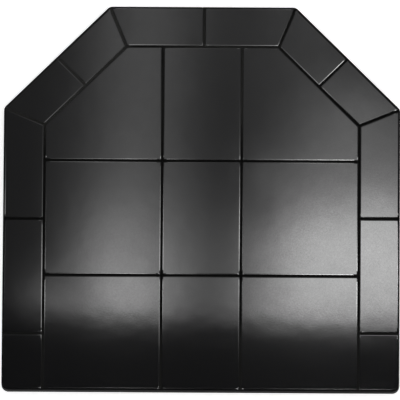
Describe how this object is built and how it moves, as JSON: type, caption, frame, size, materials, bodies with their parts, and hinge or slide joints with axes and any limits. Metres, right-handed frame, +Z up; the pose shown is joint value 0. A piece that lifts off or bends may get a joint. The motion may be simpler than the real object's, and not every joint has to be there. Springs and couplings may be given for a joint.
{
  "type": "hearth pad",
  "caption": "Tiled, insulated floor protector for a stove in a corner: square with two cut back corners, dark glazed tiles and a thin folded metal edge band.",
  "frame": {"origin": "middle of the pad's bounding box, on the floor that it rests on", "axes": "+Z up through the tiled face, +Y towards the edge between the two cut corners, +X to the right seen from above with that edge away"},
  "size_m": [1.016, 1.0104, 0.0254],
  "materials": {
    "band_steel": "satin",
    "plain_steel": "satin",
    "galvanised_sheet": "satin",
    "rivet_steel": "satin",
    "zinc_screw": "satin",
    "insulation": "matte",
    "cement_board": "matte",
    "mortar": "matte",
    "grout": "matte",
    "black_glaze": "satin"
  },
  "bodies": {
    "root": {"edge_band": "band_steel", "splice_plate": "plain_steel", "bottom_sheet": "galvanised_sheet", "flange_rivets": "rivet_steel", "board_screws": "zinc_screw", "insulation_board_left": "insulation", "insulation_board_right": "insulation", "cement_board": "cement_board", "mortar_bed": "mortar", "grout": "grout", "field_tile_front_left": "black_glaze", "field_tile_front_centre": "black_glaze", "field_tile_front_right": "black_glaze", "field_tile_middle_left": "black_glaze", "field_tile_middle_centre": "black_glaze", "field_tile_middle_right": "black_glaze", "field_tile_back_left": "black_glaze", "field_tile_back_centre": "black_glaze", "field_tile_back_right": "black_glaze", "border_tile_left_front": "black_glaze", "border_tile_left_middle": "black_glaze", "border_tile_left_back": "black_glaze", "border_tile_left_diagonal_front": "black_glaze", "border_tile_left_diagonal_back": "black_glaze", "border_tile_back_left": "black_glaze", "border_tile_back_right": "black_glaze", "border_tile_right_diagonal_back": "black_glaze", "border_tile_right_diagonal_front": "black_glaze", "border_tile_right_back": "black_glaze", "border_tile_right_middle": "black_glaze", "border_tile_right_front": "black_glaze"}
  },
  "joints": []
}
